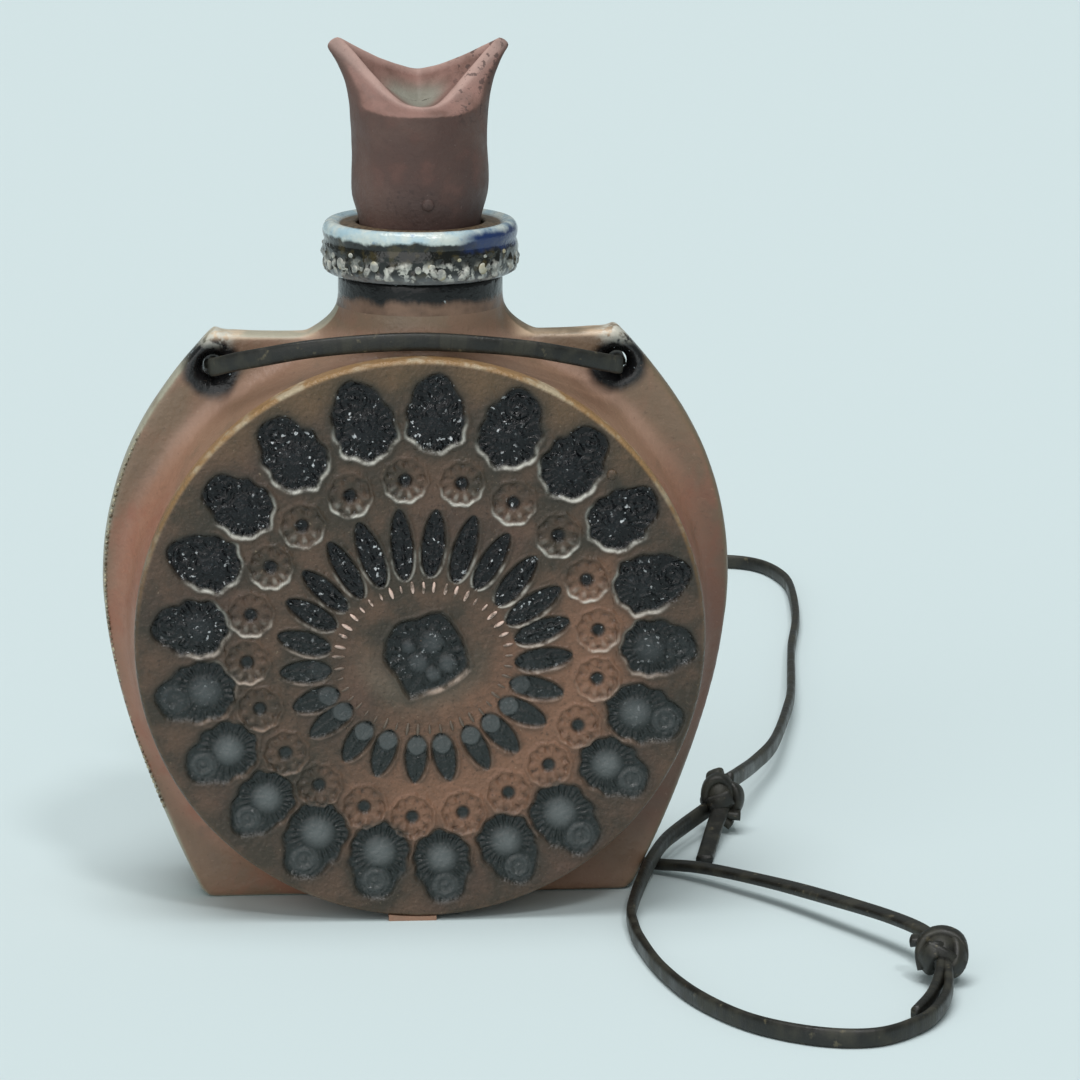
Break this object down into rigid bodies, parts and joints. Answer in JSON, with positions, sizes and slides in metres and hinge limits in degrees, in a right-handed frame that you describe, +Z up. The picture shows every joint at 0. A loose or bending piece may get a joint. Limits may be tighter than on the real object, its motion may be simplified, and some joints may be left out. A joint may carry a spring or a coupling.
{
  "type": "pilgrim flask",
  "caption": "Flat round stoneware pilgrim flask with stamped face slabs, a collared neck, a pinched stopper that lifts out on a cork, and a knotted leather lace.",
  "frame": {"origin": "middle of the clay body's bounding box at the height of its base, where the flask stands", "axes": "+Z up out of the neck, -Y out of the stamped face, +X to the right seen from the front"},
  "size_m": [0.2099, 0.5038, 0.2165],
  "materials": {
    "body_clay": "satin",
    "ash_glaze": "gloss",
    "neck_clay": "satin",
    "collar_glaze": "gloss",
    "bare_clay": "matte",
    "cork": "matte",
    "lace": "satin"
  },
  "bodies": {
    "flask": {"front_shell": "body_clay", "back_shell": "body_clay", "front_medallion": "ash_glaze", "back_disc": "body_clay", "front_foot": "body_clay", "back_foot": "body_clay", "neck": "neck_clay", "collar": "collar_glaze", "strap_lace": "lace", "right_lace": "lace", "left_lace": "lace", "hand_loop_lace": "lace", "knot_a": "lace", "knot_b": "lace"},
    "cork": {"cork_sleeve": "cork"},
    "stopper": {"stopper_plug": "bare_clay", "stopper_grip": "bare_clay"}
  },
  "joints": [
    {"name": "stopper_lift", "type": "slide", "parent": "flask", "child": "cork", "axis": [0, 0, 1], "range_m": [0, 0.045]},
    {"name": "stopper_turn", "type": "hinge", "parent": "cork", "child": "stopper", "pos_m": [0.0014, 0, 0.155], "axis": [0, 0, 1], "continuous": true}
  ]
}
